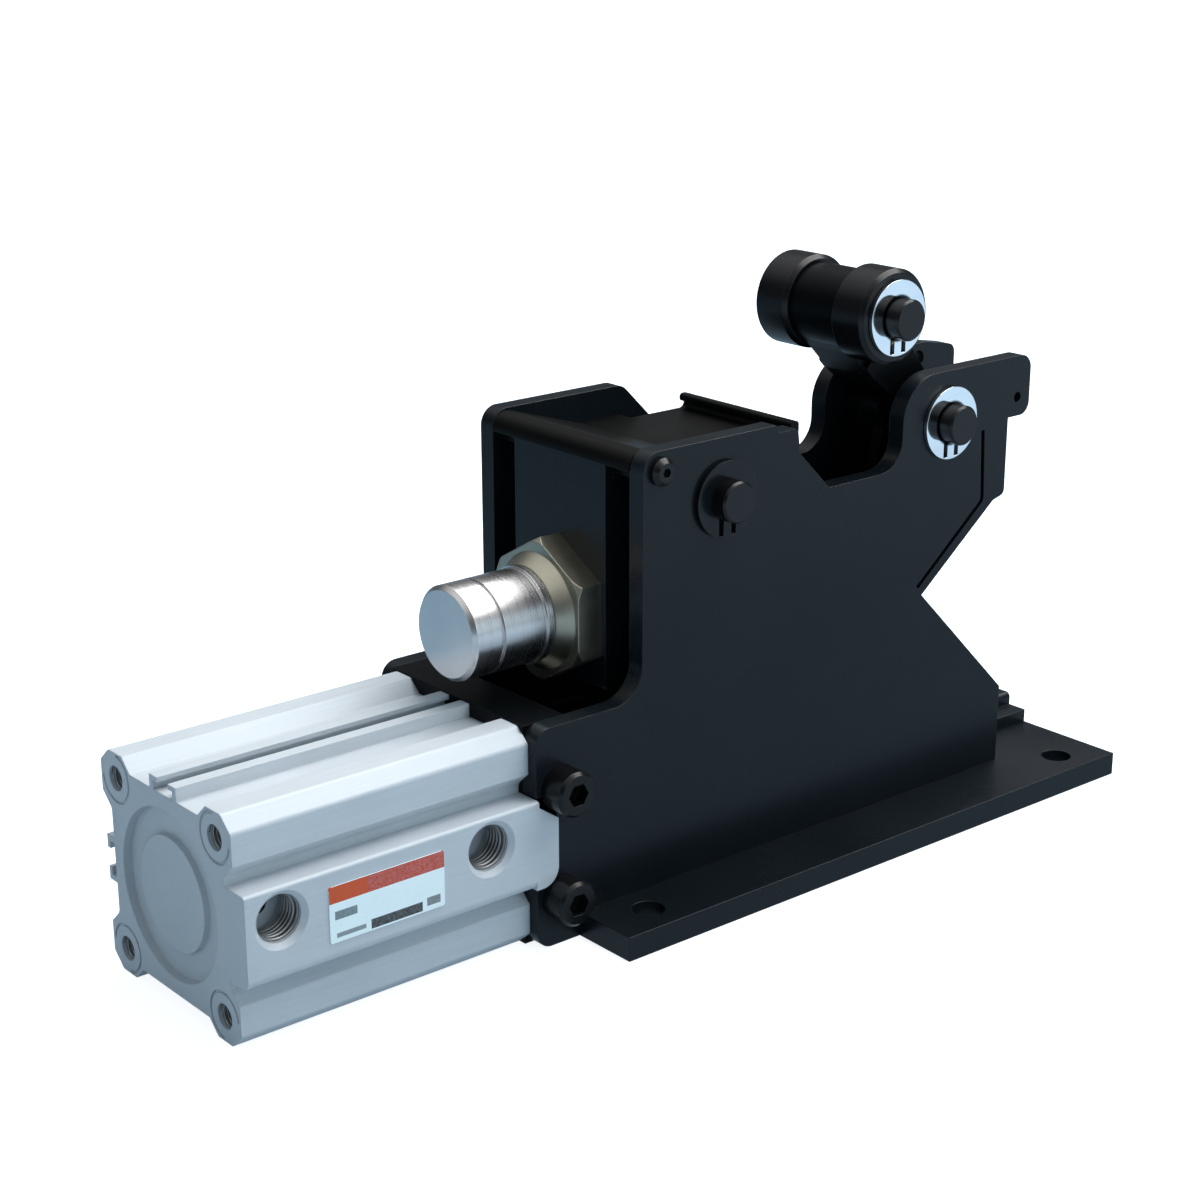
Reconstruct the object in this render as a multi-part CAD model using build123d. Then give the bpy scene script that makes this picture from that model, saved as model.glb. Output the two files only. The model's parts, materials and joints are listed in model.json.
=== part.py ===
from build123d import *
from math import cos, radians, sin, sqrt, tan
import os

# Pneumatic pallet stopper. Origin: centre of the four base holes on the underside of the base.
# +X is the way a pallet travels, +Z is up, -Y faces the front plate.

# Base plate
base_left = -103.5
base_length = 207.0
base_width = 114.0
base_thickness = 7.2
mount_pitch_x = 175.0
mount_pitch_y = 93.0
mount_hole = 9.5

# Upright plates, cut from one gauge of sheet
plate_gauge = 5.6
plate_face = 35.8
plate_overhang = 15.0
plate_toe = 70.2
step_over = 0.4
riser_x = -80.8
plate_top = 134.3
ramp_sum = 102.6
notch_floor = 112.5
horn_left = 20.3
horn_top = 139.4
tab_end = 76.6
tab_bottom = 120.6
neck_x = 67.2
neck_rise = 13.3
neck_step_x = 62.3
neck_step_rise = 12.1
waist_drop = 12.2
foot_round = 5.0
riser_fillet = 10.0
top_round = 5.5
nub_x = -22.0
nub_lean = 1.0
nub_top = 132.0
nub_root = -30.4
nub_round = 1.2
notch_fillet = 9.0
horn_round = 13.5
tab_crown_round = 4.5
tab_round = 4.0
neck_round = 2.0
tab_hole = 3.2
tab_hole_x = 71.0
tab_hole_z = 126.5
horn_hole = 5.0
horn_hole_x = 61.1
horn_hole_z = 134.6
foot_tab = 16.0
foot_tab_deep = 6.4
foot_tab_places = (-78.0, 8.0, 48.0)
centre_tab_places = (10.0, 48.0)
fit = 0.1
seat = 0.3

# Centre plate
centre_face = -3.5
centre_left = -12.2
window_drop = 6.3
window_rise = 10.7
window_right = 31.2
window_fillet = 1.0
centre_tab_end = 78.0
centre_tab_top = 136.9
centre_tab_round = 3.0
centre_crown_x = 64.0

# Cylinder block and its side screws
block_gap = 1.0
block_rod_hole = 24.0
side_screw = 8.0
side_head = 13.0
side_head_high = 8.0
side_hex = 6.0
side_hex_deep = 4.0
side_screw_long = 26.0
side_edge = 0.9
hole_extra = 1.0
side_screw_in = 8.3
side_screw_drop = 17.95
side_screw_rise = 14.4

# Air cylinder
body_long = 92.7
body_wall = 28.2
body_reach = 32.0
body_lift = 0.2
corner_reach = 32.5
boss_foot = 17.0
boss_crown = 21.0
boss_shoulder = 28.0
boss_heel = 19.2
boss_round = 1.5
groove_y = 28.6
groove_z = 15.6
groove_step = 1.0
port_face = 37.2
port_drop = 13.3
port_rise = 12.7
port_round = 3.0
port_edge = 1.0
port_nose_in = 6.6
port_nose_drop = 6.4
port_nose_back = 8.6
port_nose_round = 5.5
port_clear = 0.4
port_bore = 13.16
port_mouth = 16.0
port_deep = 12.0
port_way = 6.0
port_lift = 3.5
port_cap_in = 10.6
port_rod_in = 16.35
bolt_pitch = 49.5
bolt_hole = 5.6
bolt_recess = 7.0
bolt_recess_deep = 16.0
bolt_ring = 14.2
bolt_ring_wide = 0.8
bolt_ring_deep = 0.5
bolt_ring_reach = 39.5
tube_bore = 50.0
cap_wall = 7.2
cap_recess = 47.6
cap_recess_deep = 2.4
cap_disc = 32.0
cap_disc_deep = 1.6
slot_half = 2.7
slot_lip = 2.2
slot_rail = 1.7
slot_lip_thick = 1.4
slot_sink = 0.5
wall_sink = 1.0

# Long bolts
bolt = 5.0
bolt_head = 6.8
bolt_head_high = 5.0
bolt_key = 4.0
bolt_key_deep = 2.6
bolt_reach = 12.0
bolt_fit = 0.05

# Inside the cylinder
rod = 20.0
running = 0.04
piston_in = 31.2
piston_long = 12.0
piston_gap = 0.15
seal_wide = 4.0
seal_deep = 3.0
cover_long = 10.1
cover_in = 2.4
cover_gap = 0.1
rod_clear = 0.2
bush_wall = 2.0
bush_long = 6.0
wiper_long = 2.5
ring_gauge = 1.6
ring_wall = 4.0
ring_gap = 14.0
ring_groove = 1.6

# Crosshead, link and crank
pivot_x = 40.1
pivot_z = 123.6
crank = 24.0
crank_angle = 244.0
link_long = 120.0
crosshead_long = 26.0
crosshead_high = 24.0
crosshead_half = 20.0
crosshead_edge = 2.0
thread_core = 14.0
thread_deep = 12.0
link_pin = 8.0
link_eye = 9.0
link_waist = 6.5
link_near = -21.5
link_far = -28.5
eye_clear = 0.9
link_pin_end = 29.9
pin_cap = 6.0
pin_cap_thick = 1.0
pin_root = 12.0
crank_web = 3.6
crank_boss = 7.0

# Shock absorber and its holder
damper_gap = 5.05
damper = 27.3
damper_cap_x = -121.3
damper_end = -34.0
damper_chamfer = 1.2
damper_groove_x = -111.9
damper_groove = 1.2
damper_groove_deep = 0.7
collar_x = -94.2
collar_wide = 2.0
collar_high = 0.6
nut_flats = 37.0
nut_thick = 8.4
nut_chamfer = 1.4
nut_flare_x = -93.5
nut_flare_small = 14.0
nut_flare_large = 17.0
damper_rod = 8.0
damper_rod_start = -60.0
damper_rod_deep = 37.0
button_start = 16.0
button_end = 25.2
button = 12.0
button_seat = 6.0
button_edge = 1.2
holder_end = -37.2
holder_half = 20.0
holder_low = 61.0
holder_nose = 128.4
holder_nose_thick = 3.0
holder_round = 4.0
thread_fit = 0.05

# Pins and clips
pin = 12.0
pin_proud = 6.4
pin_fit = 0.05
pin_chamfer = 0.6
clip_outer = 22.0
clip_gauge = 1.2
clip_groove = 1.4
clip_neck = 10.4
clip_slot = 1.8
clip_tongue = 2.8
clip_rim = 0.8
clip_off = 0.2
clip_turn = 90.0
third_pin_x = -51.0
third_pin_z = 116.8
sleeve_outer = 13.6

# Stop arm, damper lever and rollers
arm_long = 45.4
arm_angle = 128.0
arm_near = -6.7
arm_far = -26.7
arm_half = 7.8
arm_foot = 6.2
arm_flare = 15.5
arm_knee = 27.0
arm_knee_half = 9.2
arm_shoulder = 38.0
arm_shoulder_half = 10.5
hub = 24.0
hub_clear = 0.35
rocker_far = -29.9
rocker_near = -17.6
arm_hub_far = -17.3
arm_hub_near = -10.8
lever_far = -10.5
lever_near = -3.8
arm_boss = 23.6
arm_boss_near = -7.8
arm_boss_far = -25.2
roller = 27.8
roller_chamfer = 1.2
roller_wide = 13.0
roller_front_near = -25.5
roller_rear_far = -7.5
roller_bush = 16.0
lug_gap = 0.3
lug_thick = 6.0
lug_reach = 18.0
lug_root = -4.0
lug_tip = 1.5
dog_root = 2.0
dog_thick = 5.0
dog_far = -22.4
pad_x = 31.0
pad_thick = 5.6
pad = 10.6
tail_root_half = 9.0
tail_knee_x = 38.0
tail_knee_rise = 8.7
tail_tip = 2.0

# Cover sheet and its bar
cover_gauge = 1.5
cover_top = 125.7
cover_lip_x = -11.0
cover_lip_top = 130.2
cover_lip_round = 3.3
cover_hem = 3.2
cover_hem_low = 127.7
cover_hem_round = 1.1
cover_bend_x = -49.2
cover_nose_x = -81.2
cover_nose_z = 135.4
cover_nose_low = 128.4
cover_nose_round = 5.0
cover_half = 29.9
cover_lip_half = 24.0
cover_narrow_x = -34.0
cover_side_cut = 5.0
bar_end = -66.0
bar_half = 30.0
bar_end_low = 125.6
bar_screw_x = -74.6
bar_screw_z = 128.6
bar_screw = 4.0
bar_head = 8.0
bar_head_high = 2.6
bar_head_edge = 1.3
bar_key = 2.5
bar_key_deep = 1.3
bar_screw_long = 14.0

# End guard
guard_gauge = 1.4
guard_slot = 1.6
guard_catch = 1.8
guard_top_x = 55.9
guard_top_z = 118.6
guard_bend_x = 57.1
guard_bend_rise = 13.0
guard_end_x = 29.4
guard_end_drop = 9.5
guard_round = 3.0

# Foot block
foot_left = 71.5
foot_low_half = 19.7
foot_low_top = 11.4
foot_high_half = 13.0
foot_high_top = 15.5
foot_high_left = 74.5
foot_edge = 1.6
foot_screw = 5.0
foot_head = 8.5
foot_head_high = 5.0
foot_screw_places = (79.0, 96.0)
foot_screw_top = 13.0

# Label field
label_in = 24.5
label_long = 36.0
label_drop = 7.6
label_rise = 8.1
label_thick = 0.3
label_round = 0.8

# Sizes that follow from those above
base_right = base_left + base_length
plate_left = base_left - plate_overhang
block_right = base_left - block_gap
side_screw_x = plate_left + side_screw_in
cylinder_end = plate_left
cap_x = cylinder_end - body_long
tube_bore_start = cap_x + cap_wall
port_cap_x = cap_x + port_cap_in
port_rod_x = cylinder_end - port_rod_in
port_nose_x = cylinder_end + port_nose_in
label_left = cap_x + label_in
label_right = label_left + label_long
bolt_end = cylinder_end + bolt_reach
cover_end = cylinder_end - cover_in
cover_x = cover_end - cover_long
piston_x = cap_x + piston_in
bore_z = body_reach + body_lift
step_top = bore_z + body_reach + step_over
port_low = bore_z - port_drop
port_high = bore_z + port_rise
port_z = bore_z + port_lift
label_low = bore_z - label_drop
label_high = bore_z + label_rise
damper_z = step_top + damper / 2 + damper_gap
waist_z = damper_z - waist_drop
neck_z = damper_z + neck_rise
neck_step_z = damper_z + neck_step_rise
guard_bend_z = damper_z + guard_bend_rise
guard_end_z = damper_z - guard_end_drop


def outline(corners):
    """Closed face in the XZ plane; each corner is (x, z, radius)."""
    edges = []
    joints = []
    for i, (x, z, r) in enumerate(corners):
        here = Vector(x, 0, z)
        back = Vector(corners[i - 1][0], 0, corners[i - 1][1]) - here
        ahead = Vector(corners[(i + 1) % len(corners)][0], 0, corners[(i + 1) % len(corners)][1]) - here
        if r <= 0:
            joints.append((here, None, here))
            continue
        back = back.normalized()
        ahead = ahead.normalized()
        half = radians(back.get_angle(ahead) / 2)
        reach = r / tan(half)
        middle = (back + ahead).normalized() * (r / sin(half) - r)
        joints.append((here + back * reach, here + middle, here + ahead * reach))
    for i, (start, middle, end) in enumerate(joints):
        if middle is not None:
            edges.append(ThreePointArc(start, middle, end))
        follower = joints[(i + 1) % len(joints)][0]
        if (follower - end).length > 1e-6:
            edges.append(Line(end, follower))
    return Face(Wire(edges))


def slab_y(corners, y0, y1):
    return extrude(Pos(0, y0, 0) * outline(corners), amount=y1 - y0, dir=(0, 1, 0))


def slab_x(corners, x0, x1):
    """Profile corners are (y, z, radius)."""
    face = Rot(0, 0, 90) * outline(corners)
    return extrude(Pos(x0, 0, 0) * face, amount=x1 - x0, dir=(1, 0, 0))


def rod_x(diameter, x0, x1, y, z):
    return Pos((x0 + x1) / 2, y, z) * Rot(0, 90, 0) * Cylinder(diameter / 2, x1 - x0)


def rod_y(diameter, y0, y1, x, z):
    return Pos(x, (y0 + y1) / 2, z) * Rot(90, 0, 0) * Cylinder(diameter / 2, y1 - y0)


def rod_z(diameter, z0, z1, x, y):
    return Pos(x, y, (z0 + z1) / 2) * Cylinder(diameter / 2, z1 - z0)


def block(x0, x1, y0, y1, z0, z1):
    return Pos((x0 + x1) / 2, (y0 + y1) / 2, (z0 + z1) / 2) * Box(x1 - x0, y1 - y0, z1 - z0)


def hexagon_y(flats, y0, y1, x, z):
    sketch = RegularPolygon(flats / 2, 6, major_radius=False)
    return Pos(x, y0, z) * Rot(-90, 0, 0) * extrude(sketch, y1 - y0)


def hexagon_x(flats, x0, x1, y, z):
    sketch = RegularPolygon(flats / 2, 6, major_radius=False)
    return Pos(x0, y, z) * Rot(0, 90, 0) * extrude(sketch, x1 - x0)


def socket_screw_y(x, z, face, side, shank, long, head, head_high, key, key_deep, edge):
    """Cap screw whose head sits on the plane |y| = face, on the side given as -1 or 1."""
    lo, hi = sorted((side * (face - long), side * face))
    body = rod_y(shank, lo, hi, x, z)
    lo, hi = sorted((side * face, side * (face + head_high)))
    cap = rod_y(head, lo, hi, x, z)
    outer = cap.edges().filter_by(GeomType.CIRCLE).sort_by(Axis.Y)[0 if side < 0 else -1]
    cap = chamfer(outer, edge)
    lo, hi = sorted((side * (face + head_high - key_deep), side * (face + head_high)))
    return body + cap - hexagon_y(key, lo, hi, x, z)


def clip_y(x, z, y0, turn):
    """Locking disc between y0 and y0 + clip_gauge; turn is the way its sprung tongue points."""
    blank = Circle(clip_outer / 2) - Circle(clip_neck / 2 + pin_fit)
    slot_long = clip_outer / 2 - clip_rim
    for side in (-1, 1):
        aside = side * (clip_tongue + clip_slot) / 2
        blank = blank - Pos(slot_long / 2, aside) * Rectangle(slot_long, clip_slot)
    solid = extrude(blank, clip_gauge)
    return Pos(x, y0, z) * Rot(0, turn, 0) * Rot(-90, 0, 0) * solid


def grooved_pin(x, z, y0, y1, grooves):
    body = rod_y(pin, y0, y1, x, z)
    body = chamfer(body.edges().filter_by(GeomType.CIRCLE), pin_chamfer)
    for y in grooves:
        ring = rod_y(pin * 2, y, y + clip_groove, x, z) - rod_y(clip_neck, y, y + clip_groove, x, z)
        body = body - ring
    return body


# Plate outlines
left_side = [
    (plate_left, 0, foot_round),
    (base_left, 0, 0),
    (base_left, base_thickness, 0),
    (plate_toe, base_thickness, 0),
]
riser = [
    (riser_x, plate_top, top_round),
    (riser_x, step_top, riser_fillet),
    (plate_left, step_top, foot_round),
]
waist = [
    (plate_toe, ramp_sum - plate_toe, 0),
    (ramp_sum - waist_z, waist_z, 0),
    (neck_step_x, neck_step_z, 0),
    (neck_x, neck_z, neck_round),
    (neck_x, tab_bottom, 0),
]
front_horn = [
    (tab_end, tab_bottom, tab_round),
    (tab_end, horn_top, tab_crown_round),
    (horn_left, horn_top, horn_round),
    (horn_left, notch_floor, notch_fillet),
    (ramp_sum - notch_floor, notch_floor, 0),
]
front_outline = left_side + waist + front_horn + [
    (nub_x, ramp_sum - nub_x, 0),
    (nub_x - nub_lean, nub_top, nub_round),
    (nub_root, nub_top, 0),
    (ramp_sum - plate_top, plate_top, 0),
] + riser
rear_outline = left_side + [
    (plate_toe, ramp_sum - plate_toe, 0),
    (ramp_sum - plate_top, plate_top, top_round),
] + riser
centre_outline = [
    (centre_left, base_thickness, 0),
    (plate_toe, base_thickness, 0),
] + waist + [
    (centre_tab_end, tab_bottom, tab_round),
    (centre_tab_end, centre_tab_top, centre_tab_round),
    (centre_crown_x, horn_top, 0),
    (horn_left, horn_top, horn_round),
    (horn_left, notch_floor, notch_fillet),
    (centre_left, notch_floor, 0),
    (centre_left, damper_z + window_rise, 0),
    (window_right, damper_z + window_rise, window_fillet),
    (window_right, damper_z - window_drop, window_fillet),
    (centre_left, damper_z - window_drop, 0),
]

side_screw_places = [(side_screw_x, bore_z - side_screw_drop), (side_screw_x, bore_z + side_screw_rise)]
bar_screw_place = (bar_screw_x, bar_screw_z)
arm_dir = Vector(cos(radians(arm_angle)), 0, sin(radians(arm_angle)))
axle_x = pivot_x + arm_long * cos(radians(arm_angle))
axle_z = pivot_z + arm_long * sin(radians(arm_angle))
crank_x = pivot_x + crank * cos(radians(crank_angle))
crank_z = pivot_z + crank * sin(radians(crank_angle))
crosshead_x = crank_x - sqrt(link_long**2 - (crank_z - bore_z) ** 2)
plate_inner = plate_face - plate_gauge
centre_near = centre_face + plate_gauge


def with_foot_tabs(plate, y0, y1, places):
    for x in places:
        plate = plate + block(x - foot_tab / 2, x + foot_tab / 2, y0, y1,
                              base_thickness - foot_tab_deep, base_thickness)
    return plate


def guard_path(gauge):
    """The bent strip of the end guard, as corners around its thickness."""
    top = Vector(guard_top_x, 0, guard_top_z)
    bend = Vector(guard_bend_x, 0, guard_bend_z)
    end = Vector(guard_end_x, 0, guard_end_z)
    up = (top - bend).normalized()
    down = (end - bend).normalized()
    n_up = Vector(up.Z, 0, -up.X)
    n_down = Vector(-down.Z, 0, down.X)
    mid = (n_up + n_down).normalized()
    skew = gauge / 2 / mid.dot(n_up)
    half = gauge / 2
    corners = [
        top + n_up * half,
        bend + mid * skew,
        end + n_down * half,
        end - n_down * half,
        bend - mid * skew,
        top - n_up * half,
    ]
    rounds = [0, guard_round + half, 0, 0, guard_round - half, 0]
    return [(c.X, c.Z, r) for c, r in zip(corners, rounds)]


# Base plate
base = block(base_left, base_right, -base_width / 2, base_width / 2, 0, base_thickness)
for sx in (-1, 1):
    for sy in (-1, 1):
        base = base - rod_z(mount_hole, 0, base_thickness, sx * mount_pitch_x / 2, sy * mount_pitch_y / 2)
plate_seats = [
    (-plate_face, -plate_inner, foot_tab_places),
    (plate_inner, plate_face, foot_tab_places),
    (centre_face, centre_near, centre_tab_places),
]
for y0, y1, places in plate_seats:
    for x in places:
        base = base - block(x - foot_tab / 2 - fit, x + foot_tab / 2 + fit, y0 - fit, y1 + fit,
                            0, base_thickness)
foot_screws = []
for x in foot_screw_places:
    base = base - rod_z(foot_screw + 2 * fit, 0, base_thickness, x, 0)
    base = base - rod_z(foot_head + 2 * fit, 0, foot_head_high + fit, x, 0)
    screw = rod_z(foot_screw, foot_head_high, foot_screw_top, x, 0)
    screw = screw + rod_z(foot_head, 0, foot_head_high, x, 0)
    key = Pos(x, 0, 0) * extrude(RegularPolygon(bolt_key / 2, 6, major_radius=False), bolt_key_deep)
    foot_screws.append(screw - key)

# Side plates and centre plate
front = slab_y(front_outline, -plate_face, -plate_inner)
rear = slab_y(rear_outline, plate_inner, plate_face)
centre = slab_y(centre_outline, centre_face, centre_near)
front = with_foot_tabs(front, -plate_face, -plate_inner, foot_tab_places)
rear = with_foot_tabs(rear, plate_inner, plate_face, foot_tab_places)
centre = with_foot_tabs(centre, centre_face, centre_near, centre_tab_places)
for x, z in side_screw_places:
    for y0, y1 in ((-plate_face, -plate_inner), (plate_inner, plate_face)):
        hole = rod_y(side_screw + 2 * fit, y0, y1, x, z)
        front = front - hole
        rear = rear - hole
through_plates = rod_y(pin + 2 * pin_fit, -plate_face, plate_face, third_pin_x, third_pin_z)
through_plates = through_plates + rod_y(bar_screw + 2 * fit, -plate_face, plate_face, *bar_screw_place)
front = front - through_plates
rear = rear - through_plates
rear = rear - rod_y(bar_head + 2 * fit, plate_face - bar_head_high, plate_face, *bar_screw_place)
pivot_hole = rod_y(pin + 2 * pin_fit, -plate_face, centre_near, pivot_x, pivot_z)
front = front - pivot_hole
centre = centre - pivot_hole
front = front - rod_y(tab_hole, -plate_face, -plate_inner, tab_hole_x, tab_hole_z)
centre = centre - rod_y(horn_hole, centre_face, centre_near, horn_hole_x, horn_hole_z)
front = front - slab_y(guard_path(guard_slot), -plate_face, -plate_inner)
port_window = block(plate_left, port_nose_x + port_clear, -plate_face, -plate_inner,
                    port_low - port_clear, port_high + port_clear)
front = front - port_window
end_guard = slab_y(guard_path(guard_gauge), -plate_inner - guard_catch, centre_face)

# Cylinder block
rod_block = block(plate_left, block_right, -plate_inner, plate_inner, 0, step_top)
port_relief = block(plate_left, port_nose_x + port_clear, -plate_inner, -body_wall - fit,
                    port_low - port_clear, port_high + port_clear)
rod_block = rod_block - rod_x(block_rod_hole, plate_left, block_right, 0, bore_z) - port_relief
block_screws = []
for side in (-1, 1):
    for x, z in side_screw_places:
        lo, hi = sorted((side * (plate_face - side_screw_long - hole_extra), side * plate_face))
        rod_block = rod_block - rod_y(side_screw + 2 * bolt_fit, lo, hi, x, z)
        block_screws.append(socket_screw_y(x, z, plate_face, side, side_screw, side_screw_long,
                                           side_head, side_head_high, side_hex, side_hex_deep,
                                           side_edge))

# Air cylinder body
quarter = [
    (boss_foot, body_wall, 0),
    (boss_crown, body_reach, 0),
    (boss_shoulder, body_reach, boss_round),
    (corner_reach, boss_shoulder, boss_round),
    (corner_reach, boss_heel, 0),
    (groove_y, groove_z, 0),
    (body_wall, groove_z - groove_step, 0),
    (boss_foot, groove_z, 0),
]
section = outline([(-body_wall, -body_wall, 0), (body_wall, -body_wall, 0),
                   (body_wall, body_wall, 0), (-body_wall, body_wall, 0)])
for sy in (-1, 1):
    for sz in (-1, 1):
        section = section + outline([(sy * y, sz * z, r) for y, z, r in quarter])
rail = [
    (slot_half + slot_lip, body_wall - slot_sink, 0),
    (slot_half + slot_lip, body_reach - slot_lip_thick, 0),
    (slot_half, body_reach - slot_lip_thick, 0),
    (slot_half, body_reach, 0),
    (slot_half + slot_lip + slot_rail, body_reach, 0),
    (slot_half + slot_lip + slot_rail, body_wall - slot_sink, 0),
]
for side in (-1, 1):
    section = section + outline([(side * y, z, 0) for y, z, r in rail])
    section = section + outline([(z, side * y, 0) for y, z, r in rail])
section = Rot(0, 0, 90) * section
tube = extrude(Pos(cap_x, 0, bore_z) * section, amount=cylinder_end - cap_x, dir=(1, 0, 0))
port_block = [
    (-port_face, port_low, port_round),
    (-body_wall + wall_sink, port_low, 0),
    (-body_wall + wall_sink, port_high, 0),
    (-port_face, port_high, port_edge),
]
tube = tube + slab_x(port_block, cap_x, cylinder_end)
nose = [
    (cylinder_end - wall_sink, port_low, 0),
    (port_nose_x, port_low, port_nose_round),
    (port_nose_x, port_high - port_nose_drop, 0),
    (port_nose_x - port_nose_back, port_high - port_clear, 0),
    (cylinder_end - wall_sink, port_high - port_clear, 0),
]
tube = tube + slab_y(nose, -port_face, -body_wall - seat)
tube = tube - rod_x(tube_bore, tube_bore_start, cylinder_end, 0, bore_z)
cap_ring = rod_x(cap_recess, cap_x, cap_x + cap_recess_deep, 0, bore_z)
cap_ring = cap_ring - rod_x(cap_disc, cap_x + cap_recess_deep - cap_disc_deep, cap_x + cap_recess_deep,
                            0, bore_z)
tube = tube - cap_ring
bolt_places = [(sy * bolt_pitch / 2, bore_z + sz * bolt_pitch / 2) for sy in (-1, 1) for sz in (-1, 1)]
cylinder_bolts = []
for y, z in bolt_places:
    tube = tube - rod_x(bolt_hole, cap_x, cylinder_end, y, z)
    tube = tube - rod_x(bolt_recess, cap_x, cap_x + bolt_recess_deep, y, z)
    ring = rod_x(bolt_ring, cap_x, cap_x + bolt_ring_deep, y, z)
    ring = ring - rod_x(bolt_ring - 2 * bolt_ring_wide, cap_x, cap_x + bolt_ring_deep, y, z)
    tube = tube - (ring & rod_x(2 * bolt_ring_reach, cap_x, cap_x + bolt_ring_deep, 0, bore_z))
    rod_block = rod_block - rod_x(bolt + 2 * bolt_fit, plate_left, bolt_end, y, z)
    head_start = cap_x + bolt_recess_deep - bolt_head_high
    long_bolt = rod_x(bolt, head_start, bolt_end, y, z)
    long_bolt = long_bolt + rod_x(bolt_head, head_start, cap_x + bolt_recess_deep, y, z)
    long_bolt = long_bolt - hexagon_x(bolt_key, head_start, head_start + bolt_key_deep, y, z)
    cylinder_bolts.append(long_bolt)
for x in (port_cap_x, port_rod_x):
    tube = tube - rod_y(port_bore, -port_face, -port_face + port_deep, x, port_z)
    mouth = Pos(x, -port_face, port_z) * Rot(-90, 0, 0) * Cone(
        port_mouth / 2, port_bore / 2, (port_mouth - port_bore) / 2,
        align=(Align.CENTER, Align.CENTER, Align.MIN))
    tube = tube - mouth
    tube = tube - rod_y(port_way, -port_face, 0, x, port_z)
ring_seat = cover_end + fit
tube = tube - rod_x(tube_bore + 2 * ring_groove, ring_seat, ring_seat + ring_gauge + fit, 0, bore_z)

# Inside the cylinder
piston = rod_x(tube_bore - 2 * piston_gap, piston_x, piston_x + piston_long, 0, bore_z)
seal_x = piston_x + (piston_long - seal_wide) / 2
seal_cut = rod_x(tube_bore, seal_x, seal_x + seal_wide, 0, bore_z)
seal_core = rod_x(tube_bore - 2 * piston_gap - 2 * seal_deep, seal_x, seal_x + seal_wide, 0, bore_z)
piston = piston - (seal_cut - seal_core)
piston_seal = rod_x(tube_bore - 2 * running, seal_x, seal_x + seal_wide, 0, bore_z) - seal_core
rod_left = piston_x + piston_long
crosshead_left = crosshead_x - crosshead_long / 2
rod_right = crosshead_left + thread_deep
piston_rod = rod_x(rod, rod_left, crosshead_left, 0, bore_z)
piston_rod = piston_rod + rod_x(thread_core - 2 * thread_fit, rod_left, rod_right, 0, bore_z)
rod_cover = rod_x(tube_bore - 2 * cover_gap, cover_x, cover_end, 0, bore_z)
bush_bore = rod + 2 * bush_wall
rod_cover = rod_cover - rod_x(rod + 2 * rod_clear, cover_x, cover_end, 0, bore_z)
rod_cover = rod_cover - rod_x(bush_bore, cover_x, cover_x + bush_long, 0, bore_z)
rod_cover = rod_cover - rod_x(bush_bore, cover_end - wiper_long, cover_end, 0, bore_z)
rod_bush = rod_x(bush_bore, cover_x, cover_x + bush_long, 0, bore_z)
rod_bush = rod_bush - rod_x(rod + 2 * running, cover_x, cover_x + bush_long, 0, bore_z)
rod_wiper = rod_x(bush_bore, cover_end - wiper_long, cover_end, 0, bore_z)
rod_wiper = rod_wiper - rod_x(rod + 2 * running, cover_end - wiper_long, cover_end, 0, bore_z)
snap_blank = Circle(tube_bore / 2 + ring_groove - fit) - Circle(tube_bore / 2 + ring_groove - ring_wall)
snap_blank = snap_blank - Pos(tube_bore / 2, 0) * Rectangle(tube_bore / 2, ring_gap)
snap_ring = Pos(ring_seat, 0, bore_z) * Rot(0, 90, 0) * extrude(snap_blank, ring_gauge)

# Crosshead, link and crank
crosshead = block(crosshead_left, crosshead_left + crosshead_long, -crosshead_half, crosshead_half,
                  bore_z - crosshead_high / 2, bore_z + crosshead_high / 2)
crosshead = chamfer(crosshead.edges().filter_by(Axis.Y), crosshead_edge)
crosshead = crosshead - rod_x(thread_core, crosshead_left, rod_right, 0, bore_z)
crosshead = crosshead - rod_y(link_pin + 2 * bolt_fit, -crosshead_half, -pin_root, crosshead_x, bore_z)
crosshead_pin = rod_y(link_pin, -link_pin_end, -pin_root, crosshead_x, bore_z)
crosshead_pin = crosshead_pin + rod_y(pin_cap * 2, -link_pin_end, -link_pin_end + pin_cap_thick,
                                      crosshead_x, bore_z)
link_angle = Vector(crank_x - crosshead_x, 0, crank_z - bore_z).normalized()
link_side = Vector(-link_angle.Z, 0, link_angle.X)
end_a = Vector(crosshead_x, 0, bore_z)
end_b = Vector(crank_x, 0, crank_z)
waist_corners = [end_a + link_side * link_waist, end_a - link_side * link_waist,
                 end_b - link_side * link_waist, end_b + link_side * link_waist]
link = slab_y([(c.X, c.Z, 0) for c in waist_corners], link_far, link_near)
link = link + rod_y(link_eye * 2, link_far, link_near, crosshead_x, bore_z)
link = link + rod_y(link_eye * 2, link_far, link_near, crank_x, crank_z)
link = link - rod_y(link_pin + 2 * running, link_far, link_near, crosshead_x, bore_z)
link = link - rod_y(link_pin + 2 * eye_clear, link_far, link_near, crank_x, crank_z)

# Shock absorber
damper_profile = rod_x(damper, damper_cap_x, damper_end, 0, damper_z)
damper_profile = chamfer(damper_profile.edges().filter_by(GeomType.CIRCLE), damper_chamfer)
groove = rod_x(damper * 2, damper_groove_x, damper_groove_x + damper_groove, 0, damper_z)
groove = groove - rod_x(damper - 2 * damper_groove_deep, damper_groove_x,
                        damper_groove_x + damper_groove, 0, damper_z)
shock_body = damper_profile - groove
shock_body = shock_body + rod_x(damper + 2 * collar_high, collar_x - collar_wide, collar_x, 0, damper_z)
shock_body = shock_body - rod_x(damper_rod + 2 * running, damper_end - damper_rod_deep, damper_end,
                                0, damper_z)
nut_face = riser_x
hex_sketch = RegularPolygon(nut_flats / 2, 6, major_radius=False)
shock_nut = Pos(nut_face - nut_thick, 0, damper_z) * Rot(0, 90, 0) * extrude(hex_sketch, nut_thick)
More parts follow.
